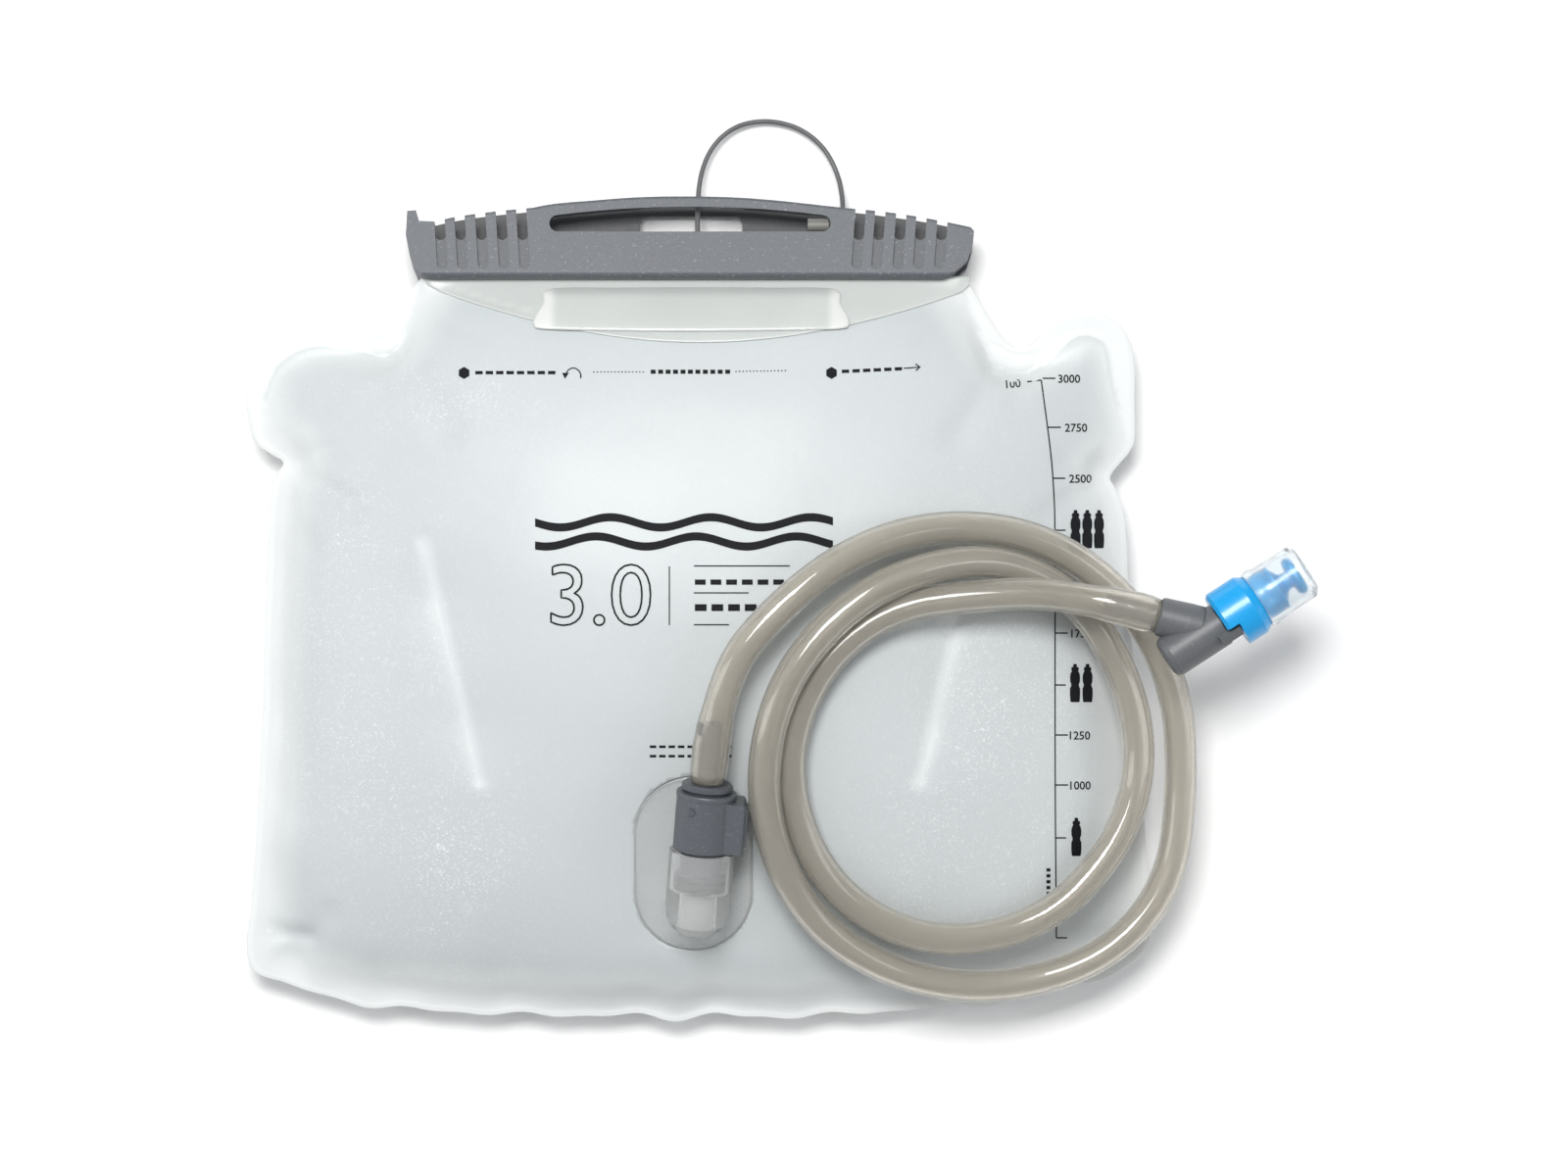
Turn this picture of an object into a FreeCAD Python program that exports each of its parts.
import FreeCAD, Part
import Sketcher
import math
import os

Vec = FreeCAD.Vector
Rot = FreeCAD.Rotation
Pla = FreeCAD.Placement

# Hydration bladder lying on its back, mouth towards +Y, drinking hose coiled on
# top of it.  Millimetres, +Z up, origin at the bottom centre of the rigid parts.
doc = FreeCAD.newDocument("hydration_bladder")

# ---------------------------------------------------------------- dimensions
sheet = doc.addObject("Spreadsheet::Sheet", "Dims")
D = {}


def dim(name, value, note):
    n = len(D) + 1
    sheet.set("A%d" % n, name)
    sheet.set("B%d" % n, repr(float(value)))
    sheet.setAlias("B%d" % n, name)
    sheet.set("C%d" % n, note)
    D[name] = float(value)


for row in (
    ("shift_x", 0.335, "moves the drawing so that the origin is the bottom centre"),
    ("shift_y", -0.01, "moves the drawing so that the origin is the bottom centre"),
    ("seam_z", 12.5, "height of the welded seam between the two films"),
    ("film_gap", 0.06, "gap between the films at the seam"),
    ("front_thick", 0.5, "front film thickness"),
    ("rear_thick", 0.9, "rear film thickness"),
    ("dome_rise", 32.0, "rise of the filled front film above the seam"),
    ("rear_drop", 11.72, "drop of the rear film below the seam"),
    ("baffle_thick", 1.2, "internal baffle web thickness"),
    ("bar_tilt", -12.0, "lean of the closure, top edge lower"),
    ("bar_y", 97.2, "closure bottom edge, Y"),
    ("bar_z", 12.5, "closure bottom edge, Z"),
    ("bar_half", 6.5, "half depth of the slide bar"),
    ("bar_round", 1.6, "lower edge rounding of the slide bar"),
    ("slit_half", 2.35, "half width of the slit in the slide bar"),
    ("slit_depth", 2.0, "thickness of the lips beside the slit"),
    ("chan_half", 3.5, "half width of the channel"),
    ("chan_top", 9.2, "top of the channel"),
    ("roof_top", 10.4, "top of the channel roof"),
    ("cavity_half", 4.0, "half width of the open trough above the roof"),
    ("rib_depth", 1.5, "how far the finger ribs stand proud"),
    ("slot_width", 3.1, "gap between finger ribs"),
    ("rail_rad", 1.7, "closure rail radius"),
    ("rail_v", 6.0, "closure rail height in the channel"),
    ("rail_len", 156.0, "closure rail length"),
    ("fold_thick", 1.0, "thickness of the folded mouth"),
    ("lip_thick", 0.9, "thickness of the mouth lip"),
    ("grip_thick", 1.6, "thickness of the lip stiffener"),
    ("port_x", -1.6, "port flange centre, X"),
    ("port_y", -75.0, "port flange centre, Y"),
    ("port_z", 35.0, "port flange underside at its centre"),
    ("port_tilt", 12.0, "slope of the port flange"),
    ("port_yaw", -4.6, "turn of the port axis in the flange plane"),
    ("flange_wide", 34.6, "port flange width"),
    ("flange_long", 51.6, "port flange length"),
    ("flange_thick", 1.2, "port flange thickness"),
    ("axis_high", 10.6, "port axis above the flange underside"),
    ("axis_side", 2.3, "port axis to the right of the flange centre, and its start above it"),
    ("barrel_rad", 9.5, "port barrel outer radius"),
    ("port_bore", 7.8, "port bore radius"),
    ("port_mouth", 4.6, "port mouth position along the port axis"),
    ("cart_rad", 5.0, "valve cartridge seat radius in the barrel"),
    ("stem_rad", 6.25, "plug stem radius"),
    ("stem_bore", 2.2, "plug stem bore radius"),
    ("oring_major", 6.5, "plug seal ring radius"),
    ("oring_minor", 1.2, "plug seal section radius"),
    ("housing_rad", 8.65, "connector housing radius"),
    ("housing_bore", 6.33, "connector housing bore radius"),
    ("housing_lo", 4.9, "connector housing lower end along the port axis"),
    ("housing_hi", 22.4, "connector housing upper end along the port axis"),
    ("block_face", 11.7, "button side of the housing from the axis"),
    ("block_half", 6.2, "half height of the button block"),
    ("button_wide", 8.6, "release button height"),
    ("button_long", 12.0, "release button length"),
    ("button_proud", 0.8, "how far the release button stands proud of the housing"),
    ("button_thick", 2.0, "release button thickness"),
    ("barb_rad", 3.1, "hose barb radius"),
    ("tube_rad", 4.75, "drinking hose outer radius"),
    ("tube_bore", 3.15, "drinking hose bore radius"),
    ("valve_x", 136.46, "bite valve axis, lower end, X"),
    ("valve_y", -14.98, "bite valve axis, lower end, Y"),
    ("valve_z", 46.0, "bite valve axis height"),
    ("valve_turn", 33.0, "bite valve heading above +X"),
    ("elbow_rad", 6.5, "elbow body radius"),
    ("elbow_len", 19.0, "elbow body length"),
    ("spigot_rad", 4.6, "elbow spigot radius"),
    ("spigot_len", 30.6, "elbow spigot end along the valve axis"),
    ("stub_rad", 5.7, "elbow stub radius"),
    ("stub_s", 15.83, "where the stub meets the valve axis"),
    ("stub_len", 15.92, "stub length to the hose end"),
    ("stub_angle", 132.27, "angle from the valve axis to the stub"),
    ("barb_len", 16.0, "hose barb length"),
    ("collar_rad", 9.5, "twist collar radius"),
    ("collar_lo", 19.3, "twist collar start along the valve axis"),
    ("collar_hi", 31.7, "twist collar end along the valve axis"),
    ("collar_bore", 4.66, "twist collar bore radius"),
    ("sheath_rad", 8.75, "bite sheath radius"),
    ("sheath_wall", 1.3, "bite sheath wall"),
    ("sheath_hi", 48.7, "bite sheath tip along the valve axis"),
    ("loop_rad", 0.75, "hang loop cord radius"),
    ("knob_rad", 2.0, "hang loop end knob radius"),
):
    dim(*row)


class Size:
    """A number together with the sheet expression that gives it."""

    def __init__(self, value, text):
        self.value = float(value)
        self.text = text

    @staticmethod
    def of(other):
        if isinstance(other, Size):
            return other
        return Size(other, repr(float(other)))

    def __add__(self, o):
        o = Size.of(o)
        return Size(self.value + o.value, "(%s + %s)" % (self.text, o.text))

    def __radd__(self, o):
        return Size.of(o) + self

    def __sub__(self, o):
        o = Size.of(o)
        return Size(self.value - o.value, "(%s - %s)" % (self.text, o.text))

    def __rsub__(self, o):
        return Size.of(o) - self

    def __mul__(self, o):
        o = Size.of(o)
        return Size(self.value * o.value, "(%s * %s)" % (self.text, o.text))

    def __rmul__(self, o):
        return Size.of(o) * self

    def __neg__(self):
        return Size(-self.value, "(-1.0 * %s)" % self.text)


def A(name):
    return Size(D[name], "Dims." + name)


def num(x):
    return x.value if isinstance(x, Size) else float(x)


def bind(obj, prop, x, unit=""):
    """Set a property to a number, or to a sheet expression."""
    if isinstance(x, Size):
        obj.setExpression(prop, x.text + unit)
    else:
        obj.setExpression(prop, repr(float(x)) + unit)


# ------------------------------------------------------------ building tools
NODES = {}


def plane(body, role):
    for f in body.Origin.OriginFeatures:
        if f.Role == role:
            return f
    raise ValueError(role)


def new_body(label):
    body = doc.addObject("PartDesign::Body", label)
    body.Label = label
    NODES[label] = body
    return body


def new_sketch(body, name, role, offset=0.0):
    sk = body.newObject("Sketcher::SketchObject", body.Label + "_" + name)
    sk.AttachmentSupport = [(plane(body, role), "")]
    sk.MapMode = "FlatFace"
    sk.AttachmentOffset = Pla(Vec(0, 0, num(offset)), Rot())
    if isinstance(offset, Size):
        sk.setExpression("AttachmentOffset.Base.z", offset.text)
    return sk


def poly(sk, pts):
    """Closed polygon: every corner is placed by its two distances."""
    n = len(pts)
    first = sk.GeometryCount
    q = [Vec(num(x), num(y), 0) for x, y in pts]
    for i in range(n):
        sk.addGeometry(Part.LineSegment(q[i], q[(i + 1) % n]), False)
    for i in range(n):
        sk.addConstraint(Sketcher.Constraint("Coincident", first + i, 2, first + (i + 1) % n, 1))
    for i in range(n):
        for axis, c in (("DistanceX", pts[i][0]), ("DistanceY", pts[i][1])):
            if abs(num(c)) < 1e-9:
                sk.addConstraint(Sketcher.Constraint("PointOnObject", first + i, 1, -2 if axis == "DistanceX" else -1))
                continue
            k = sk.addConstraint(Sketcher.Constraint(axis, -1, 1, first + i, 1, num(c)))
            if isinstance(c, Size):
                sk.setExpression("Constraints[%d]" % k, c.text)
    return first


def curves(sk, items):
    """Closed run of ready-made curves."""
    first = sk.GeometryCount
    for g in items:
        sk.addGeometry(g, False)
    n = len(items)
    for i in range(n):
        sk.addConstraint(Sketcher.Constraint("Coincident", first + i, 2, first + (i + 1) % n, 1))


def loose(sk, pts):
    """Closed polygon with no constraints, for long free-form outlines."""
    n = len(pts)
    for i in range(n):
        a, b = pts[i], pts[(i + 1) % n]
        sk.addGeometry(Part.LineSegment(Vec(num(a[0]), num(a[1]), 0), Vec(num(b[0]), num(b[1]), 0)), False)


def circle(sk, x, y, r):
    k = sk.addGeometry(Part.Circle(Vec(num(x), num(y), 0), Vec(0, 0, 1), num(r)), False)
    c = sk.addConstraint(Sketcher.Constraint("Radius", k, num(r)))
    if isinstance(r, Size):
        sk.setExpression("Constraints[%d]" % c, r.text)
    for axis, v in (("DistanceX", x), ("DistanceY", y)):
        if abs(num(v)) < 1e-9:
            sk.addConstraint(Sketcher.Constraint("PointOnObject", k, 3, -2 if axis == "DistanceX" else -1))
            continue
        m = sk.addConstraint(Sketcher.Constraint(axis, -1, 1, k, 3, num(v)))
        if isinstance(v, Size):
            sk.setExpression("Constraints[%d]" % m, v.text)


def pad(body, sk, length, back=False, mid=False):
    f = body.newObject("PartDesign::Pad", sk.Label + "_pad")
    f.Profile = sk
    f.Reversed = back
    f.Midplane = mid
    f.Length = num(length)
    bind(f, "Length", length)
    doc.recompute()
    return f


def revolve(body, sk, angle=360.0):
    f = body.newObject("PartDesign::Revolution", sk.Label + "_turn")
    f.Profile = sk
    f.ReferenceAxis = (sk, ["V_Axis"])
    f.Angle = angle
    doc.recompute()
    return f


def pocket(body, sk, length, back=False, mid=False):
    """Cut, checking that material really goes."""
    before = body.Shape.Volume
    f = body.newObject("PartDesign::Pocket", sk.Label + "_cut")
    f.Profile = sk
    f.Reversed = back
    f.Midplane = mid
    f.Length = num(length)
    bind(f, "Length", length)
    doc.recompute()
    gone = before - body.Shape.Volume
    if gone < 1e-3 or not f.isValid():
        raise RuntimeError("no cut: " + f.Label)
    return f


def groove(body, sk):
    before = body.Shape.Volume
    f = body.newObject("PartDesign::Groove", sk.Label + "_groove")
    f.Profile = sk
    f.ReferenceAxis = (sk, ["V_Axis"])
    f.Angle = 360.0
    doc.recompute()
    if before - body.Shape.Volume < 1e-3 or not f.isValid():
        raise RuntimeError("no cut: " + f.Label)
    return f


def fillet(body, radius, pick):
    """Round the edges that pick() accepts; the sizes are tried downwards."""
    base = body.Tip
    names = ["Edge%d" % (i + 1) for i, e in enumerate(base.Shape.Edges) if pick(e)]
    if not names:
        raise RuntimeError("no edges: " + body.Label)
    f = body.newObject("PartDesign::Fillet", body.Label + "_round%d" % len(body.Group))
    f.Base = (base, names)
    f.Radius = num(radius)
    if isinstance(radius, Size):
        f.setExpression("Radius", radius.text)
    doc.recompute()
    if f.isValid() and f.Shape.isValid() and f.Shape.Volume > 0:
        return f
    print("rounding left out:", body.Label, len(names))
    body.removeObject(f)
    doc.removeObject(f.Name)
    body.Tip = base
    doc.recompute()
    return None


def feature(label, shape, frame=None):
    f = doc.addObject("Part::Feature", label)
    f.Label = label
    f.Shape = shape
    f.Placement = frame if frame is not None else Pla()
    NODES[label] = f
    return f


# ------------------------------------------------------------------- frames
SHIFT = Vec(D["shift_x"], D["shift_y"], 0)
GLOBAL = Pla(SHIFT, Rot())

# Closure frame: x along the bar, y up the bar, z out of its front.
BAR = Pla(SHIFT + Vec(0, D["bar_y"], D["bar_z"]), Rot(Vec(1, 0, 0), D["bar_tilt"]))

# Port flange frame: y along the port axis, z out of the flange.
FLANGE = Pla(SHIFT + Vec(D["port_x"], D["port_y"], D["port_z"]),
             Rot(Vec(1, 0, 0), D["port_tilt"]).multiply(Rot(Vec(0, 0, 1), D["port_yaw"])))

# Port axis frame: z along the port axis towards the hose, x to the button, y down.
_pr = FLANGE.Rotation
AXIS = Pla(FLANGE.multVec(Vec(D["axis_side"], D["axis_side"], D["axis_high"])),
           _pr.multiply(Rot(Vec(1, 0, 0), Vec(0, 0, -1), Vec(0, 1, 0), "ZXY")))

# Bite valve frame: z along the valve, y up.
_t = math.radians(D["valve_turn"])
VALVE = Pla(SHIFT + Vec(D["valve_x"], D["valve_y"], D["valve_z"]),
            Rot(Vec(-math.sin(_t), math.cos(_t), 0), Vec(0, 0, 1), Vec(math.cos(_t), math.sin(_t), 0), "ZXY"))


def place(obj, frame, local=None):
    """Put a sub-part in one of the frames; its base point follows the sheet."""
    p = frame if local is None else frame.multiply(local)
    obj.Placement = p
    rel = p.Base - SHIFT
    obj.setExpression("Placement.Base.x", "Dims.shift_x + %r" % rel.x)
    obj.setExpression("Placement.Base.y", "Dims.shift_y + %r" % rel.y)


def spin(values):
    """Local turn that brings z of a primitive onto a direction of its frame."""
    return Rot(Vec(0, 0, 1), Vec(*values))


# -------------------------------------------------------- shape of the film
# Outline of the lying bladder, seen from above, clockwise from the left end
# of the closure.  Two rounded shoulders stand out beside the narrower mouth.
OUTLINE = [
    (-82.48, 96.6), (-85.7, 95.6), (-88.62, 92.14), (-90.38, 87.17), (-92.13, 83.66), (-95.35, 82.79),
    (-100.32, 83.66), (-106.75, 84.83), (-114.06, 85.42), (-121.36, 83.96), (-127.8, 80.45), (-132.77, 75.48),
    (-135.1, 68.17), (-135.4, 60.86), (-133.64, 52.68), (-131.6, 48.29), (-127.8, 45.66), (-124.29, 43.32),
    (-126.33, 39.81), (-127.8, 36.3), (-128.38, 30.46), (-128.97, 17.59), (-129.55, 0.05), (-130.13, -23.33),
    (-131.01, -43.8), (-132.47, -68.94), (-133.94, -89.11), (-135.1, -97.88), (-134.81, -104.61),
    (-132.77, -108.11), (-128.67, -110.75), (-121.36, -113.38), (-114.06, -115.13), (-105.87, -117.18),
    (-95.05, -119.52), (-77.51, -120.1), (-61.14, -121.56), (-45.65, -121.27), (-30.15, -122.15),
    (-18.17, -121.56), (-6.47, -122.73), (5.22, -121.56), (14.58, -122.15), (33.29, -121.85), (51.7, -120.69),
    (70.41, -119.22), (89.12, -117.76), (107.83, -113.67), (121.57, -109.58), (128.88, -106.36),
    (132.39, -103.44), (134.44, -98.76), (134.73, -92.91), (134.14, -82.68), (132.68, -64.26), (130.93, -40.88),
    (129.47, -17.49), (128.01, 5.9), (127.13, 23.44), (125.67, 31.04), (124.2, 35.13), (122.45, 38.93),
    (125.08, 42.74), (128.3, 46.54), (129.76, 50.63), (129.76, 60.86), (129.76, 71.39), (128.59, 78.69),
    (125.37, 84.54), (119.23, 88.05), (113.1, 88.63), (108.13, 87.17), (103.16, 83.08), (99.36, 78.99),
    (96.14, 77.52), (92.05, 78.99), (87.95, 83.66), (83.86, 90.68), (80.94, 95.6), (76.26, 96.6),
]


def inside(x, y, pts):
    hit = False
    n = len(pts)
    j = n - 1
    for i in range(n):
        xi, yi = pts[i]
        xj, yj = pts[j]
        if (yi > y) != (yj > y) and x < (xj - xi) * (y - yi) / (yj - yi) + xi:
            hit = not hit
        j = i
    return hit


def edge_distance(x, y, pts):
    best = 1e9
    n = len(pts)
    for i in range(n):
        x1, y1 = pts[i]
        x2, y2 = pts[(i + 1) % n]
        dx, dy = x2 - x1, y2 - y1
        k = ((x - x1) * dx + (y - y1) * dy) / (dx * dx + dy * dy)
        k = min(1.0, max(0.0, k))
        best = min(best, math.hypot(x - x1 - k * dx, y - y1 - k * dy))
    return best


# Inflation of the outline: a membrane under even pressure, solved on a grid.
STEP = 5.0
GX0, GY0, GNX, GNY = -150.0, -135.0, 61, 53


def membrane():
    free = []
    for j in range(GNY):
        for i in range(GNX):
            x, y = GX0 + STEP * i, GY0 + STEP * j
            if inside(x, y, OUTLINE) and edge_distance(x, y, OUTLINE) > 1.5:
                free.append(j * GNX + i)
    f = [0.0] * (GNX * GNY)
    w = 1.88
    for sweep in range(220):
        for k in free:
            r = 0.25 * (f[k - 1] + f[k + 1] + f[k - GNX] + f[k + GNX] + STEP * STEP) - f[k]
            f[k] += w * r
    top = max(f)
    return [v / top for v in f]


PHI = membrane()


def phi(x, y):
    a = (x - GX0) / STEP
    b = (y - GY0) / STEP
    i = min(GNX - 2, max(0, int(math.floor(a))))
    j = min(GNY - 2, max(0, int(math.floor(b))))
    a = min(1.0, max(0.0, a - i))
    b = min(1.0, max(0.0, b - j))
    k = j * GNX + i
    return ((1 - a) * (1 - b) * PHI[k] + a * (1 - b) * PHI[k + 1]
            + (1 - a) * b * PHI[k + GNX] + a * b * PHI[k + GNX + 1])


def smooth(x):
    x = min(1.0, max(0.0, x))
    return x * x * (3 - 2 * x)


TAN = math.tan(math.radians(D["port_tilt"]))


def pill_distance(x, y):
    """Distance outside the port flange's outline."""
    half = 0.5 * (D["flange_long"] - D["flange_wide"])
    dy = y - D["port_y"]
    dy = max(0.0, abs(dy) - half)
    return math.hypot(x - D["port_x"], dy) - 0.5 * D["flange_wide"]


def front_rise(x, y):
    """Underside of the front film above the seam, with a flat place for the port."""
    p = max(0.0, phi(x, y) - 0.09) / 0.91
    h = D["dome_rise"] * p ** 0.64
    flat = D["port_z"] - D["seam_z"] - D["film_gap"] / 2 + TAN * (y - D["port_y"])
    k = smooth((16.0 - pill_distance(x, y)) / 14.0)
    return h + (flat - h) * k


def rear_fall(x, y):
    p = max(0.0, phi(x, y) - 0.09) / 0.91
    u = max(0.0, 1.0 - p / 0.3)
    return D["rear_drop"] * (1.0 - u ** 2.3)


NPX, NPY = 33, 28


def knots(n, lo, hi):
    inner = n - 3
    ks = [lo + (hi - lo) * i / float(inner) for i in range(inner + 1)]
    ms = [4] + [1] * (inner - 1) + [4]
    return ks, ms


def greville(n, lo, hi):
    ks, ms = knots(n, lo, hi)
    full = []
    for k, m in zip(ks, ms):
        full += [k] * m
    return [(full[i + 1] + full[i + 2] + full[i + 3]) / 3.0 for i in range(n)], full


XLO, XHI, YLO, YHI = -145.0, 143.0, -131.0, 105.0
XS, XFULL = greville(NPX, XLO, XHI)
YS, YFULL = greville(NPY, YLO, YHI)
FRONT = [[D["seam_z"] + D["film_gap"] / 2 + front_rise(x, y) for y in YS] for x in XS]
REAR = [[D["seam_z"] - D["film_gap"] / 2 - rear_fall(x, y) for y in YS] for x in XS]


def basis(full, n, t):
    t = min(max(t, full[3]), full[n] - 1e-9)
    k = 3
    while k < n - 1 and t >= full[k + 1]:
        k += 1
    b = [1.0, 0.0, 0.0, 0.0]
    for d in range(1, 4):
        saved = 0.0
        for r in range(d):
            hi = full[k + r + 1] - t
            lo = t - full[k + 1 - d + r]
            temp = b[r] / (hi + lo)
            b[r] = saved + hi * temp
            saved = lo * temp
        b[d] = saved
    return k - 3, b


def height(net, x, y):
    i0, bx = basis(XFULL, NPX, x)
    j0, by = basis(YFULL, NPY, y)
    return sum(bx[a] * by[b] * net[i0 + a][j0 + b] for a in range(4) for b in range(4))


def film_top(x, y):
    return height(FRONT, x, y) + D["front_thick"]


def sheet_face(net, lift):
    s = Part.BSplineSurface()
    poles = [[Vec(XS[i], YS[j], net[i][j] + lift) for j in range(NPY)] for i in range(NPX)]
    kx, mx = knots(NPX, XLO, XHI)
    ky, my = knots(NPY, YLO, YHI)
    s.buildFromPolesMultsKnots(poles, mx, my, kx, ky, False, False, 3, 3)
    return s.toShape()


def prism(pts, z0, z1, smooth_edge=False):
    v = [Vec(x, y, z0) for x, y in pts]
    if smooth_edge:
        c = Part.BSplineCurve()
        c.interpolate(Points=v, PeriodicFlag=True)
        w = Part.Wire([c.toShape()])
    else:
        w = Part.makePolygon(v + [v[0]])
    return Part.Face(w).extrude(Vec(0, 0, z1 - z0))


def slab(net, lift, thick, outline):
    return outline.common(sheet_face(net, lift).extrude(Vec(0, 0, thick)))


# ---------------------------------------------------------------- the films
port_pts = []
for q in range(48):
    a = 2 * math.pi * q / 48.0
    half = 0.5 * (D["flange_long"] - D["flange_wide"])
    r = 0.5 * D["flange_wide"] + 0.15
    cy = half if math.sin(a) >= 0 else -half
    port_pts.append((D["port_x"] + r * math.cos(a), D["port_y"] + cy + r * math.sin(a)))

outline_prism = prism(OUTLINE, -5, 60)
front = slab(FRONT, 0.0, D["front_thick"], outline_prism)
front = front.cut(prism(port_pts, 0, 60))
feature("front_film", front, GLOBAL)

rear_outline = [(x, min(y, 96.2)) for x, y in OUTLINE]
rear = slab(REAR, -D["rear_thick"], D["rear_thick"], prism(rear_outline, -5, 60))
rear = rear.cut(Part.makeBox(400, 400, 10, Vec(-200, -200, -10)))
feature("rear_film", rear, GLOBAL)

# Two internal baffle webs in a shallow V tie the films together.
for label, x1, x2 in (("baffle_left", -81.25, -63.43), ("baffle_right", 81.72, 63.9)):
    y1, y2 = 23.15, -53.02
    run = math.hypot(x2 - x1, y2 - y1)
    low = 1.15
    tops = []
    for k in range(9):
        u = k / 8.0
        x, y = x1 + (x2 - x1) * u, y1 + (y2 - y1) * u
        tops.append((run * u, min(height(FRONT, x + o, y) for o in (-1.5, 0, 1.5)) - 0.35))
    body = new_body(label)
    sk = new_sketch(body, "web", "XZ_Plane")
    # the web stands on the rear film and follows the front film
    loose(sk, [(0, low), (run, low)] + tops[::-1])
    pad(body, sk, A("baffle_thick"), mid=True)
    place(body, GLOBAL, Pla(Vec(x1, y1, 0), Rot(Vec(0, 0, 1), math.degrees(math.atan2(y2 - y1, x2 - x1)))))

# ------------------------------------------------- folded mouth and closure
# The mouth is folded over a rail and the fold is held in the slide bar.
rail = new_body("closure_rail")
sk = new_sketch(rail, "round", "YZ_Plane")
circle(sk, A("rail_v"), 0.0, A("rail_rad"))
pad(rail, sk, A("rail_len"), mid=True)
place(rail, BAR, Pla(Vec(-3.0, 0, 0), Rot()))

arc_r = D["rail_rad"] + 0.12 + 0.5 * D["fold_thick"]
mid = [(-0.3, -0.95), (2.1, -0.95)]
a0 = math.radians(-142)
for k in range(13):
    a = a0 + (-2 * a0) * k / 12.0
    mid.append((D["rail_v"] + arc_r * math.cos(a), arc_r * math.sin(a)))
mid += [(2.1, 1.0), (-0.3, 1.0)]


def offset_line(pts, d):
    out = []
    n = len(pts)
    for i in range(n):
        if i == 0:
            tx, ty = pts[1][0] - pts[0][0], pts[1][1] - pts[0][1]
        elif i == n - 1:
            tx, ty = pts[-1][0] - pts[-2][0], pts[-1][1] - pts[-2][1]
        else:
            ax, ay = pts[i][0] - pts[i - 1][0], pts[i][1] - pts[i - 1][1]
            bx, by = pts[i + 1][0] - pts[i][0], pts[i + 1][1] - pts[i][1]
            la, lb = math.hypot(ax, ay), math.hypot(bx, by)
            tx, ty = ax / la + bx / lb, ay / la + by / lb
        ll = math.hypot(tx, ty)
        k = d
        if 0 < i < n - 1:
            k = d / max(0.5, ll / 2.0)
        out.append((pts[i][0] - ty / ll * k, pts[i][1] + tx / ll * k))
    return out


fold = new_body("mouth_fold")
sk = new_sketch(fold, "wrap", "YZ_Plane")
half = 0.5 * D["fold_thick"]
loose(sk, offset_line(mid, half) + offset_line(mid, -half)[::-1])
pad(fold, sk, A("rail_len") + 1.0, mid=True)
place(fold, BAR, Pla(Vec(-3.0, 0, 0), Rot()))

# The lip of the mouth hangs out below the bar, in front of the front film.
LIP = [(-81.5, 96.4)]
for k in range(1, 20):
    u = k / 20.0
    x = -81.5 + 164.0 * u
    sag = 17.6 * (math.sin(math.pi * u) ** 0.9)
    LIP.append((x, 96.0 - sag))
LIP += [(82.5, 96.4)]
lip_lift = D["front_thick"] + 0.12
feature("mouth_lip", slab(FRONT, lip_lift, D["lip_thick"], prism(LIP, 0, 60)), GLOBAL)
GRIP = [(-45.0, 94.6), (-47.0, 90.5), (-49.2, 85.0), (-48.6, 83.4), (-45.5, 82.4), (41.0, 82.4), (44.2, 83.4),
        (45.0, 85.0), (42.5, 90.5), (40.3, 94.6)]
feature("lip_stiffener", slab(FRONT, lip_lift + D["lip_thick"] + 0.05, D["grip_thick"], prism(GRIP, 0, 60)), GLOBAL)

# --------------------------------------------------------------- slide bar
bar = new_body("slide_bar")
h = A("bar_half")
sk = new_sketch(bar, "section", "YZ_Plane", -92.0)
r = D["bar_round"]
hv = D["bar_half"]
c45 = math.cos(math.pi / 4)
curves(sk, [
    Part.Arc(Vec(0, -hv + r, 0), Vec(r - r * c45, -hv + r - r * c45, 0), Vec(r, -hv, 0)),
    Part.LineSegment(Vec(r, -hv, 0), Vec(28, -hv, 0)),
    Part.LineSegment(Vec(28, -hv, 0), Vec(28, hv, 0)),
    Part.LineSegment(Vec(28, hv, 0), Vec(r, hv, 0)),
    Part.Arc(Vec(r, hv, 0), Vec(r - r * c45, hv - r + r * c45, 0), Vec(0, hv - r, 0)),
    Part.LineSegment(Vec(0, hv - r, 0), Vec(0, -hv + r, 0)),
])
pad(bar, sk, 178.0)

BAR_TOP = [(-49.6, 21.4), (-44.0, 22.5), (-34.0, 23.45), (-21.5, 24.45), (-2.6, 24.9), (15.0, 24.3), (34.0, 22.4),
           (46.5, 21.0), (52.5, 20.4), (64.5, 18.7), (70.3, 17.6), (75.2, 16.6)]
spl = Part.BSplineCurve()
spl.interpolate([Vec(x, y, 0) for x, y in BAR_TOP])
LEFT = [(-49.6, 21.4), (-60.5, 20.3), (-67.5, 19.4), (-73.6, 18.4), (-79.5, 16.9), (-83.6, 17.1), (-84.6, 20.4),
        (-87.2, 20.2), (-87.5, 12.8), (-86.2, 6.2), (-84.6, 2.4), (-82.6, 0.6), (-80.0, 0.0)]
RIGHT = [(72.2, 0.0), (75.6, 1.4), (79.6, 5.0), (81.4, 10.6), (81.7, 13.9), (80.6, 15.4), (75.2, 16.6)]
sk = new_sketch(bar, "outline", "XY_Plane")
frame_pts = [Vec(-99, -6, 0), Vec(95, -6, 0), Vec(95, 36, 0), Vec(-99, 36, 0)]
for i in range(4):
    sk.addGeometry(Part.LineSegment(frame_pts[i], frame_pts[(i + 1) % 4]), False)
items = [Part.LineSegment(Vec(*(LEFT[i] + (0,))), Vec(*(LEFT[i + 1] + (0,)))) for i in range(len(LEFT) - 1)]
items.append(Part.LineSegment(Vec(*(LEFT[-1] + (0,))), Vec(*(RIGHT[0] + (0,)))))
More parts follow.
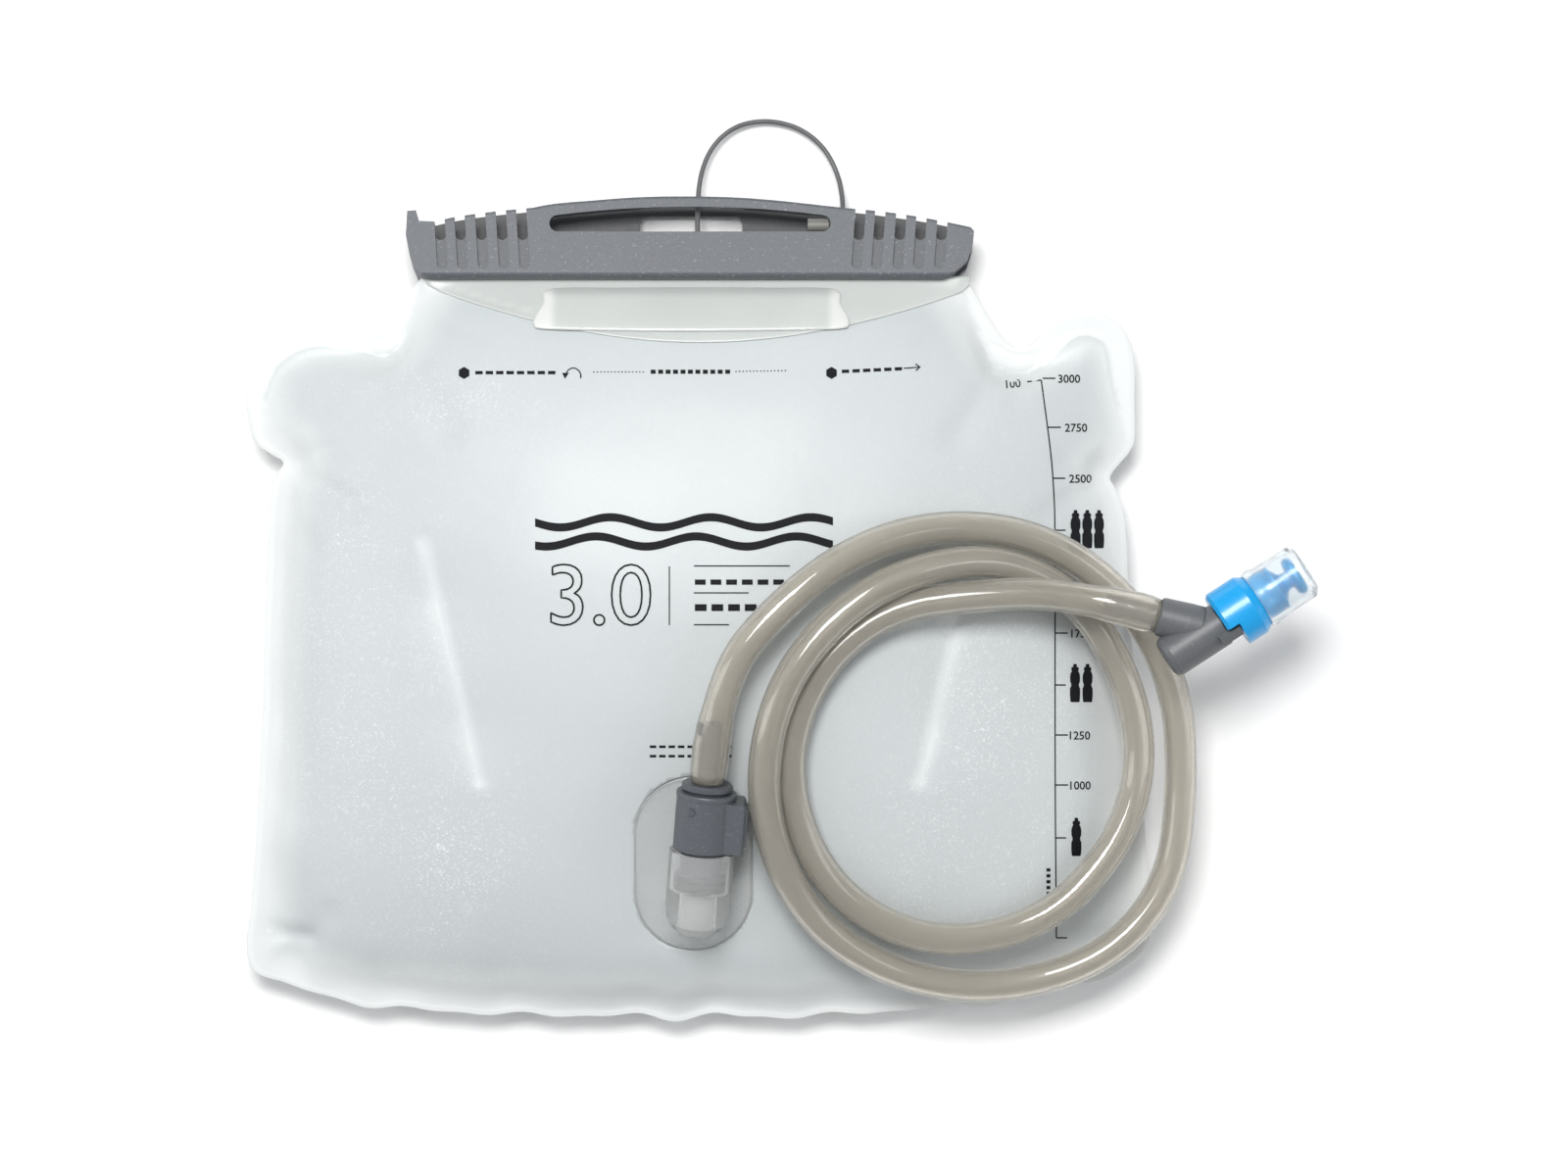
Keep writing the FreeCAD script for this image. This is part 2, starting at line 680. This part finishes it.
items += [Part.LineSegment(Vec(*(RIGHT[i] + (0,))), Vec(*(RIGHT[i + 1] + (0,)))) for i in range(len(RIGHT) - 1)]
for g in items:
    sk.addGeometry(g, False)
sk.addGeometry(spl, False)
pocket(bar, sk, 40.0, mid=True)

fillet(bar, 0.9, lambda e: e.BoundBox.ZLength < 1e-3 and abs(abs(e.BoundBox.ZMax) - hv) < 1e-3
       and e.BoundBox.YMin > 15.0 and e.BoundBox.XMin > -80 and e.BoundBox.XMax < 75.4)

# channel for the folded mouth, open at the right-hand end only
sk = new_sketch(bar, "channel", "YZ_Plane", -83.2)
poly(sk, [(-1.0, -A("slit_half")), (A("slit_depth"), -A("slit_half")), (A("slit_depth"), -A("chan_half")),
          (A("chan_top"), -A("chan_half")), (A("chan_top"), A("chan_half")), (A("slit_depth"), A("chan_half")),
          (A("slit_depth"), A("slit_half")), (-1.0, A("slit_half"))])
pocket(bar, sk, 175.0, back=True)

# open trough above the channel roof
sk = new_sketch(bar, "trough", "YZ_Plane", -82.4)
poly(sk, [(A("roof_top"), -A("cavity_half")), (32.0, -A("cavity_half")), (32.0, A("cavity_half")),
          (A("roof_top"), A("cavity_half"))])
pocket(bar, sk, 161.6, back=True)

# long window in the front plate
sk = new_sketch(bar, "window", "XY_Plane", 12.0)
curves(sk, [
    Part.LineSegment(Vec(-41.8, 13.8, 0), Vec(36.2, 13.8, 0)),
    Part.Arc(Vec(36.2, 13.8, 0), Vec(39.0, 16.3, 0), Vec(36.8, 18.9, 0)),
    Part.Arc(Vec(36.8, 18.9, 0), Vec(-2.8, 21.5, 0), Vec(-42.6, 18.9, 0)),
    Part.Arc(Vec(-42.6, 18.9, 0), Vec(-44.8, 16.3, 0), Vec(-41.8, 13.8, 0)),
])
pocket(bar, sk, 9.0)

# hanging slot in the rear wall
sk = new_sketch(bar, "hanger", "XY_Plane", -12.0)
curves(sk, [
    Part.LineSegment(Vec(-16.0, 12.3, 0), Vec(10.5, 12.3, 0)),
    Part.Arc(Vec(10.5, 12.3, 0), Vec(11.985, 12.915, 0), Vec(12.6, 14.4, 0)),
    Part.LineSegment(Vec(12.6, 14.4, 0), Vec(12.6, 19.3, 0)),
    Part.Arc(Vec(12.6, 19.3, 0), Vec(11.985, 20.785, 0), Vec(10.5, 21.4, 0)),
    Part.LineSegment(Vec(10.5, 21.4, 0), Vec(-16.0, 21.4, 0)),
    Part.Arc(Vec(-16.0, 21.4, 0), Vec(-17.485, 20.785, 0), Vec(-18.1, 19.3, 0)),
    Part.LineSegment(Vec(-18.1, 19.3, 0), Vec(-18.1, 14.4, 0)),
    Part.Arc(Vec(-18.1, 14.4, 0), Vec(-17.485, 12.915, 0), Vec(-16.0, 12.3, 0)),
])
pocket(bar, sk, 9.0, back=True)

# slots between the finger ribs, leaning outwards at both ends
LEAN = math.tan(math.radians(4.2))
SLOTS = [(u, -LEAN) for u in (-76.4, -70.4, -64.2, -58.0, -51.9)] + [(u, LEAN) for u in (46.6, 52.5, 58.8, 64.9, 71.2)]


def slot_outline(u, lean, v0):
    """One slot: round foot at height v0, open at the top."""
    w = 0.5 * D["slot_width"]
    f = v0 + w
    du = lean * (f - 2.2)
    dt = lean * (32.0 - 2.2)
    return [
        Part.Arc(Vec(u + du - w, f, 0), Vec(u + du, v0, 0), Vec(u + du + w, f, 0)),
        Part.LineSegment(Vec(u + du + w, f, 0), Vec(u + dt + w, 32.0, 0)),
        Part.LineSegment(Vec(u + dt + w, 32.0, 0), Vec(u + dt - w, 32.0, 0)),
        Part.LineSegment(Vec(u + dt - w, 32.0, 0), Vec(u + du - w, f, 0)),
    ]


sk = new_sketch(bar, "ribs", "XY_Plane", A("bar_half") + 3.0)
for u, lean in SLOTS:
    curves(sk, slot_outline(u, lean, 2.2))
pocket(bar, sk, A("rib_depth") + 3.0)
sk = new_sketch(bar, "gaps", "XY_Plane", A("bar_half") + 3.0)
for u, lean in SLOTS:
    curves(sk, slot_outline(u, lean, 11.6))
pocket(bar, sk, 6.2)

# behind the finger ribs the rear wall stands a little higher
sk = new_sketch(bar, "rear_left", "XY_Plane", -A("bar_half"))
loose(sk, [(-82.0, 14.0), (-49.6, 14.0), (-49.6, 23.0), (-60.5, 21.9), (-67.5, 21.0), (-73.6, 20.0), (-79.5, 18.6), (-82.0, 18.3)])
pad(bar, sk, 2.5)
sk = new_sketch(bar, "rear_right", "XY_Plane", -A("bar_half"))
loose(sk, [(46.5, 13.0), (79.4, 13.0), (79.6, 14.6), (75.2, 18.1), (70.3, 19.2), (64.5, 20.2), (52.5, 21.9), (46.5, 22.6)])
pad(bar, sk, 2.5)

# small post that the hang loop is tied to
sk = new_sketch(bar, "post", "XZ_Plane", -(D["roof_top"] - 0.2))
poly(sk, [(-2.35, -1.6), (0.85, -1.6), (0.85, 1.6), (-2.35, 1.6)])
f = pad(bar, sk, 3.4)
if bar.Shape.BoundBox.YMin < -0.5 or bar.Shape.section(Part.makePlane(3, 3, Vec(-2.2, 12, -1.5), Vec(0, 1, 0))).Edges == []:
    f.Reversed = True
    doc.recompute()
place(bar, BAR)

# ------------------------------------------------------------ port fitting
port = new_body("port_fitting")
yaw = math.radians(-D["port_yaw"])


def turned(x, y):
    return Vec(x * math.cos(yaw) - y * math.sin(yaw), x * math.sin(yaw) + y * math.cos(yaw), 0)


pw, pl = 0.5 * D["flange_wide"], 0.5 * (D["flange_long"] - D["flange_wide"])
sk = new_sketch(port, "flange", "XY_Plane")
curves(sk, [
    Part.LineSegment(turned(pw, -pl), turned(pw, pl)),
    Part.Arc(turned(pw, pl), turned(0, pl + pw), turned(-pw, pl)),
    Part.LineSegment(turned(-pw, pl), turned(-pw, -pl)),
    Part.Arc(turned(-pw, -pl), turned(0, -pl - pw), turned(pw, -pl)),
])
pad(port, sk, A("flange_thick"))


def axis_sketch(body, name):
    """Sketch in the flange plane raised to the port axis: y runs along the axis."""
    sk = new_sketch(body, name, "XY_Plane")
    sk.AttachmentOffset = Pla(Vec(D["axis_side"], D["axis_side"], D["axis_high"]), Rot())
    sk.setExpression("AttachmentOffset.Base.x", "Dims.axis_side")
    sk.setExpression("AttachmentOffset.Base.y", "Dims.axis_side")
    sk.setExpression("AttachmentOffset.Base.z", "Dims.axis_high")
    return sk


# pocket-shaped barrel with a rounded blind end
BR = A("barrel_rad")
sk = axis_sketch(port, "barrel")
poly(sk, [(0.0, -21.6), (4.4, -20.9), (7.4, -18.6), (9.0, -15.2), (BR, -11.5), (BR, A("port_mouth")), (0.0, A("port_mouth"))])
revolve(port, sk)
# cradle under the connector housing
sk = new_sketch(port, "cradle", "XZ_Plane", -(D["axis_side"] + D["port_mouth"] - 0.5))
pts = []
cx, cz = D["axis_side"], D["axis_high"]
for k in range(13):
    a = math.radians(-90 - 38 + 76 * k / 12.0)
    pts.append((cx + 10.3 * math.cos(a), cz + 10.3 * math.sin(a)))
for k in range(13):
    a = math.radians(-90 + 38 - 76 * k / 12.0)
    pts.append((cx + 9.1 * math.cos(a), cz + 9.1 * math.sin(a)))
pts = [(x, max(z, 0.6)) for x, z in pts]
loose(sk, pts)
f = pad(port, sk, 19.5, back=True)
if port.Shape.BoundBox.YMax < 24:
    f.Reversed = False
    doc.recompute()
# bore for the plug and for the valve cartridge
sk = axis_sketch(port, "bore")
poly(sk, [(0.0, 6.0), (0.0, -18.1), (A("cart_rad"), -18.1), (A("cart_rad"), -8.0), (A("port_bore"), -7.4), (A("port_bore"), 3.8),
          (A("port_bore") + 0.7, A("port_mouth") + 0.05), (A("port_bore") + 0.7, 6.0)])
groove(port, sk)
# outlet from the inside of the bladder into the cartridge
sk = new_sketch(port, "outlet", "XY_Plane", -4.0)
circle(sk, A("axis_side"), A("axis_side") - 15.2, 2.2)
pocket(port, sk, 12.0, back=True)
place(port, FLANGE)

# --------------------------------------------------------- valve cartridge
cart = new_body("valve_cartridge")
sk = new_sketch(cart, "sleeve", "XZ_Plane")
CR = A("cart_rad") - 0.03
poly(sk, [(4.6, -18.05), (CR, -18.05), (CR, -8.05), (4.2, -8.05), (4.2, -8.8), (4.6, -8.8)])
revolve(cart, sk)
sk = new_sketch(cart, "hole", "XZ_Plane", 0.0)
circle(sk, 0.0, -15.2, 2.0)
before = cart.Shape.Volume
f = cart.newObject("PartDesign::Pocket", "cartridge_outlet")
f.Profile = sk
f.Length = 8.0
f.Reversed = True
doc.recompute()
if cart.Shape.CenterOfGravity.y > -1e-6:
    f.Reversed = False
    doc.recompute()
if before - cart.Shape.Volume < 1e-3:
    raise RuntimeError("no cut: cartridge outlet")
place(cart, AXIS)

popp = new_body("valve_poppet")
sk = new_sketch(popp, "disc", "XZ_Plane")
poly(sk, [(0.0, -16.6), (1.2, -16.6), (1.2, -12.9), (4.4, -12.9), (4.4, -11.95), (3.2, -11.15), (0.0, -11.15)])
revolve(popp, sk)
place(popp, AXIS)


def coil(label, frame, radius, wire, z0, z1, turns):
    helix = Part.makeHelix((z1 - z0 - 2 * wire) / turns, z1 - z0 - 2 * wire, radius)
    helix.translate(Vec(0, 0, z0 + wire))
    start = helix.Edges[0].valueAt(helix.Edges[0].FirstParameter)
    tang = helix.Edges[0].tangentAt(helix.Edges[0].FirstParameter)
    ring = Part.Wire([Part.Circle(start, tang, wire).toShape()])
    solid = Part.Wire(helix.Edges).makePipeShell([ring], True, True)
    feature(label, solid, frame)


coil("valve_spring", AXIS, 2.4, 0.3, -18.0, -12.95, 3.5)

# ----------------------------------------------------------- hose connector
plug = new_body("plug_stem")
sk = new_sketch(plug, "profile", "XZ_Plane")
SB = A("stem_bore")
SR = A("stem_rad")
BB = A("barb_rad")
profile = [(SB, -10.9), (3.4, -10.9), (3.9, -10.3), (3.9, -7.2), (5.6, -6.9), (7.55, -6.7), (7.55, -6.15), (5.25, -6.15),
           (5.25, -3.35), (7.55, -3.35), (7.55, -2.2), (SR, -1.9), (SR, 22.9), (7.0, 22.9), (7.5, 23.4), (7.5, 24.5), (7.0, 25.0), (4.0, 25.0),
           (4.0, 25.2), (2.75, 25.2)]
z = 27.0
while z < 40.5:
    profile += [(2.75, z), (BB, z), (2.75, z + 3.4)]
    z += 4.1
profile += [(2.75, 43.0), (SB, 43.0)]
poly(sk, profile)
revolve(plug, sk)
place(plug, AXIS)

oring = doc.addObject("Part::Torus", "plug_seal")
oring.Label = "plug_seal"
NODES["plug_seal"] = oring
bind(oring, "Radius1", A("oring_major"), " * 1 mm")
bind(oring, "Radius2", A("oring_minor"), " * 1 mm")
place(oring, AXIS, Pla(Vec(0, 0, -4.75), Rot()))

house = new_body("connector_housing")
HB = A("housing_bore")
HR = A("housing_rad")
LO = A("housing_lo")
HI = A("housing_hi")
sk = new_sketch(house, "shell", "XZ_Plane")
poly(sk, [(0.0, LO), (HR - 0.6, LO), (HR, LO + 0.6), (HR, HI - 1.6), (HR + 0.18, HI - 1.3), (HR + 0.18, HI - 0.4), (HR, HI), (0.0, HI)])
revolve(house, sk)
sk = new_sketch(house, "block", "XZ_Plane")
poly(sk, [(0.0, LO + 0.7), (A("block_face"), LO + 0.7), (A("block_face"), HI - 2.0), (0.0, HI - 2.0)])
pad(house, sk, A("block_half") * 2.0, mid=True)
fillet(house, 1.1, lambda e: e.Length > 3 and abs(e.CenterOfMass.x - D["block_face"]) < 1e-3)
sk = new_sketch(house, "bore", "XZ_Plane")
poly(sk, [(0.0, 0.0), (HB, 0.0), (HB, 30.0), (0.0, 30.0)])
groove(house, sk)
# seat for the release button, and the smaller one for its spring
sk = new_sketch(house, "seat", "YZ_Plane", 20.0)
by, bz = A("button_wide") * 0.5 + 0.12, A("button_long") * 0.5 + 0.12
zc = 0.5 * (D["housing_lo"] + 0.7 + D["housing_hi"] - 2.0)
poly(sk, [(-by, zc - bz), (by, zc - bz), (by, zc + bz), (-by, zc + bz)])
pocket(house, sk, 20.0 - 8.95)
sk = new_sketch(house, "spring_seat", "YZ_Plane", 20.0)
circle(sk, 0.0, zc, 1.9)
pocket(house, sk, 20.0 - 7.35)
# shallow key slot on the other side, near the top
sk = new_sketch(house, "key", "XZ_Plane", 12.0)
poly(sk, [(-9.5, 16.2), (-3.6, 16.2), (-2.6, 17.1), (-2.6, 18.0), (-3.6, 18.9), (-9.5, 18.9)])
pocket(house, sk, 12.0 - 7.0)
place(house, AXIS)

butt = new_body("release_button")
sk = new_sketch(butt, "face", "YZ_Plane", A("block_face") + A("button_proud") - A("button_thick"))
by, bz = A("button_wide") * 0.5, A("button_long") * 0.5
poly(sk, [(-by, zc - bz), (by, zc - bz), (by, zc + bz), (-by, zc + bz)])
pad(butt, sk, A("button_thick"))
fillet(butt, 0.7, lambda e: e.BoundBox.XMin > D["block_face"] + 0.3 or abs(e.BoundBox.XLength - D["button_thick"]) < 1e-3)
place(butt, AXIS)

x_in = D["block_face"] + D["button_proud"] - D["button_thick"]
coil("button_spring", AXIS.multiply(Pla(Vec(0, 0, zc), Rot(Vec(0, 1, 0), 90))), 1.3, 0.22, 7.4, x_in - 0.05, 3.0)

# ------------------------------------------------------------ elbow and valve
# the elbow is turned from one body and one stub that meets it at a slant
elbow = new_body("elbow_body")
sk = new_sketch(elbow, "body", "XZ_Plane")
ER = A("elbow_rad")
SG = A("spigot_rad")
poly(sk, [(0.0, 0.0), (ER - 2.0, 0.0), (ER - 0.6, 0.6), (ER, 2.0), (ER, A("elbow_len")), (SG, A("elbow_len")),
          (SG, 25.4), (SG - 1.0, 25.4), (SG - 1.0, 27.6), (SG, 27.6), (SG, A("spigot_len")), (0.0, A("spigot_len"))])
revolve(elbow, sk)
stub = new_sketch(elbow, "stub", "XZ_Plane")
stub.AttachmentOffset = Pla(Vec(0, D["stub_s"], 0), Rot(Vec(0, 0, 1), -D["stub_angle"]))
stub.setExpression("AttachmentOffset.Base.y", "Dims.stub_s")
SL = A("stub_len")
bars = [(0.0, 0.0), (3.0, 0.0), (6.1, 3.4), (6.1, 7.0), (A("stub_rad"), SL - 0.5), (A("stub_rad") - 0.5, SL), (2.75, SL)]
z = 1.6
while z < 14.0:
    bars += [(2.75, SL + z), (BB, SL + z), (2.75, SL + z + 3.2)]
    z += 4.3
bars += [(2.75, SL + A("barb_len")), (0.0, SL + A("barb_len"))]
poly(stub, bars)
revolve(elbow, stub)
# waterways: one along the stub, one up the spigot
way = new_sketch(elbow, "way_in", "XZ_Plane")
way.AttachmentOffset = Pla(Vec(0, D["stub_s"], 0), Rot(Vec(0, 0, 1), -D["stub_angle"]))
poly(way, [(0.0, 0.0), (2.0, 0.0), (2.0, SL + A("barb_len") + 1.0), (0.0, SL + A("barb_len") + 1.0)])
groove(elbow, way)
way = new_sketch(elbow, "way_out", "XZ_Plane")
poly(way, [(0.0, 13.0), (2.6, 14.0), (2.6, 40.0), (0.0, 40.0)])
groove(elbow, way)
# stop tab that limits the twist collar
tab = new_sketch(elbow, "tab", "XY_Plane", 16.0)
ta = math.radians(90 + 32)
ux, uy = math.cos(ta), math.sin(ta)
vx, vy = -uy, ux
if ux > 0:
    ux = -ux
poly(tab, [(ux * 6.0 - vx * 1.4, uy * 6.0 - vy * 1.4), (ux * 8.6 - vx * 1.4, uy * 8.6 - vy * 1.4),
           (ux * 8.6 + vx * 1.4, uy * 8.6 + vy * 1.4), (ux * 6.0 + vx * 1.4, uy * 6.0 + vy * 1.4)])
pad(elbow, tab, 6.8)
place(elbow, VALVE)

seal = doc.addObject("Part::Torus", "spigot_seal")
seal.Label = "spigot_seal"
NODES["spigot_seal"] = seal
bind(seal, "Radius1", A("spigot_rad") - 0.5 + 0.02, " * 1 mm")
bind(seal, "Radius2", Size(0.5, "0.5"), " * 1 mm")
place(seal, VALVE, Pla(Vec(0, 0, 26.5), Rot()))

# twist collar with a quarter-turn notch around the stop tab
KR = A("collar_rad")
KB = A("collar_bore")
KL = A("collar_lo")
KH = A("collar_hi")
coll = new_body("twist_collar")
sk = new_sketch(coll, "ring", "XZ_Plane")
poly(sk, [(KB, KL), (KR - 0.9, KL), (KR, KL + 0.9), (KR, KH - 2.4), (KR - 1.4, KH), (KB, KH)])
revolve(coll, sk)
sk = new_sketch(coll, "notch", "XY_Plane", KL - 2.0)
a0 = math.degrees(math.atan2(uy, ux)) - 17.5
a1 = a0 + 90.0 + 35.0
arc = []
for k in range(25):
    a = math.radians(a0 + (a1 - a0) * k / 24.0)
    arc.append((12.0 * math.cos(a), 12.0 * math.sin(a)))
back = []
for k in range(25):
    a = math.radians(a1 - (a1 - a0) * k / 24.0)
    back.append((5.8 * math.cos(a), 5.8 * math.sin(a)))
loose(sk, arc + back)
pocket(coll, sk, 5.9, back=True)
place(coll, VALVE)

core = new_body("spout_core")
sk = new_sketch(core, "stem", "XZ_Plane")
poly(sk, [(1.6, KH + 0.02), (7.0, KH + 0.02), (7.0, KH + 5.4), (6.4, KH + 5.4), (6.4, KH + 6.0), (6.9, KH + 6.0), (6.9, KH + 6.9),
          (5.2, KH + 7.6), (3.2, KH + 8.8), (2.6, KH + 10.0), (2.6, 42.9), (5.2, 43.4), (5.9, 44.2), (5.9, 45.2), (5.2, 46.0), (1.6, 46.2)])
revolve(core, sk)
place(core, VALVE)

SHR = A("sheath_rad")
SHW = A("sheath_wall")
SHH = A("sheath_hi")
sheath = new_body("bite_sheath")
sk = new_sketch(sheath, "skin", "XZ_Plane")
poly(sk, [(7.1, KH + 0.05), (SHR - 0.1, KH + 0.05), (SHR + 0.35, KH + 1.4), (SHR + 0.35, KH + 2.2), (SHR - 0.1, KH + 3.6),
          (SHR - 0.3, 40.0), (SHR - 0.3, SHH - 1.6), (SHR - 1.6, SHH - 0.2), (SHR - 3.2, SHH), (0.9, SHH), (0.9, SHH - SHW),
          (SHR - 3.2, SHH - SHW), (SHR - 0.3 - SHW, SHH - SHW - 1.2), (SHR - 0.3 - SHW, 40.0), (7.1, KH + 3.6)])
revolve(sheath, sk)
place(sheath, VALVE)

# ----------------------------------------------------------- cords and hose
def cord_path(route):
    """Straight runs joined by tangent arcs; returns the wire, its radii and length."""
    n = len(route)
    runs = [(route[i + 1] - route[i]).Length for i in range(n - 1)]
    edges = []
    radii = []
    last = route[0]
    total = 0.0
    for i in range(1, n - 1):
        u = (route[i] - route[i - 1]).normalize()
        w = (route[i + 1] - route[i]).normalize()
        turn = math.acos(max(-1.0, min(1.0, u.dot(w))))
        k = 0.45 * min(runs[i - 1], runs[i])
        r = k / math.tan(0.5 * turn)
        a = route[i] - u * k
        b = route[i] + w * k
        m = (w - u).normalize()
        c = route[i] + m * (r / math.cos(0.5 * turn))
        top = c - m * r
        edges.append(Part.LineSegment(last, a).toShape())
        edges.append(Part.Arc(a, top, b).toShape())
        total += (a - last).Length + r * turn
        radii.append(round(r, 1))
        last = b
    edges.append(Part.LineSegment(last, route[-1]).toShape())
    total += (route[-1] - last).Length
    return Part.Wire(edges), radii, total, [round(q, 1) for q in runs]


def tube(label, route, outer, bore, frame):
    wire, radii, total, runs = cord_path([Vec(*p) for p in route])
    start = wire.Edges[0].valueAt(wire.Edges[0].FirstParameter)
    tang = (Vec(*route[1]) - Vec(*route[0])).normalize()
    ring = Part.Wire([Part.Circle(start, tang, outer).toShape()])
    solid = wire.makePipeShell([ring], True, False)
    area = math.pi * outer * outer
    if bore > 0:
        core_ring = Part.Wire([Part.Circle(start, tang, bore).toShape()])
        inner = wire.makePipeShell([core_ring], True, False)
        solid = solid.cut(inner)
        area -= math.pi * bore * bore
    print("%s length %.1f radii %s" % (label, total, radii))
    print("  runs %s" % runs)
    print("  volume %.1f, section x length %.1f, valid %s" % (solid.Volume, area * total, solid.isValid()))
    return feature(label, solid, frame)


HOSE = [
    (2.91, -50.47, 51.05),
    (5.28, -21.62, 57.18),
    (24.00, 1.61, 57.05),
    (47.72, 18.59, 51.00),
    (74.60, 24.98, 43.03),
    (103.45, 20.30, 35.57),
    (127.77, 1.71, 28.63),
    (141.54, -23.53, 23.66),
    (143.34, -52.83, 21.80),
    (139.69, -81.61, 22.38),
    (122.07, -103.01, 23.46),
    (91.81, -112.86, 25.27),
    (62.69, -109.98, 30.32),
    (37.32, -96.33, 38.52),
    (22.61, -74.40, 48.03),
    (17.91, -46.96, 55.05),
    (25.29, -19.40, 57.20),
    (44.72, 2.53, 55.96),
    (68.52, 13.06, 50.57),
    (90.72, 14.09, 41.21),
    (112.22, 2.82, 33.13),
    (127.39, -22.02, 27.60),
    (131.23, -48.23, 27.01),
    (122.47, -71.83, 28.95),
    (102.56, -92.33, 31.43),
    (73.01, -99.33, 34.96),
    (46.78, -89.55, 38.96),
    (30.78, -70.00, 44.28),
    (25.00, -42.70, 48.65),
    (35.02, -16.17, 49.52),
    (55.45, 0.15, 47.88),
    (81.38, 3.91, 47.23),
    (108.43, 4.50, 46.00),
    (134.34, -2.31, 46.00),
]
tube("drink_tube", HOSE, D["tube_rad"], D["tube_bore"], GLOBAL)


def in_bar(x, v, w=0.0):
    p = Pla(Vec(0, D["bar_y"], D["bar_z"]), Rot(Vec(1, 0, 0), D["bar_tilt"])).multVec(Vec(x, v, w))
    return (p.x, p.y, p.z)


LOOP = [
    in_bar(-0.75, 13.85),
    in_bar(-0.85, 21.4),
    (-0.2, 129.4, 5.7),
    (3.4, 138.6, 3.9),
    (10.4, 144.8, 2.6),
    (19.8, 146.6, 1.9),
    (29.6, 144.4, 1.8),
    (37.2, 138.4, 2.4),
    (41.6, 129.6, 3.8),
    (42.9, 120.6, 6.6),
    in_bar(42.4, 17.2, 1.8),
    in_bar(38.7, 17.0, 1.8),
]
tube("hang_loop", LOOP, D["loop_rad"], 0.0, GLOBAL)

knob = new_body("loop_knob")
sk = new_sketch(knob, "round", "YZ_Plane", 32.2)
circle(sk, 17.0, 1.8, A("knob_rad"))
pad(knob, sk, 6.5)
fillet(knob, 0.45, lambda e: abs(e.BoundBox.XLength) < 1e-3 and e.BoundBox.XMax > 35)
place(knob, BAR)

# ------------------------------------------------------------------- output
doc.recompute()
bad = []
for o in doc.Objects:
    if any(s in ("Invalid", "Error") for s in o.State):
        bad.append(o.Label + " " + ",".join(o.State))
for name, o in NODES.items():
    s = o.Shape
    if s.isNull() or not s.isValid() or not s.Solids:
        bad.append(name + " shape")
    elif len(s.Solids) != 1:
        bad.append("%s has %d solids" % (name, len(s.Solids)))
CORD = ("drink_tube",)
lo = [1e9] * 3
hi = [-1e9] * 3
for name, o in NODES.items():
    if o.Shape.isNull():
        continue
    mesh = o.Shape.tessellate(0.05)[0]
    b = FreeCAD.BoundBox(mesh[0].x, mesh[0].y, mesh[0].z, mesh[0].x, mesh[0].y, mesh[0].z)
    for v in mesh:
        b.add(v)
    print("%-18s %8.1f mm3  x %7.2f %7.2f  y %7.2f %7.2f  z %6.2f %6.2f" % (
        name, o.Shape.Volume, b.XMin, b.XMax, b.YMin, b.YMax, b.ZMin, b.ZMax))
    if name in CORD:
        continue
    for k, (p, q) in enumerate(((b.XMin, b.XMax), (b.YMin, b.YMax), (b.ZMin, b.ZMax))):
        lo[k] = min(lo[k], p)
        hi[k] = max(hi[k], q)
print("box without the hose", [round(v, 3) for v in lo], [round(v, 3) for v in hi],
      "centre", round(0.5 * (lo[0] + hi[0]), 3), round(0.5 * (lo[1] + hi[1]), 3))
if bad:
    raise RuntimeError("; ".join(bad))
os.makedirs("parts", exist_ok=True)
for name, o in NODES.items():
    o.Shape.exportStep("parts/%s.step" % name)
print(len(NODES), "nodes written")
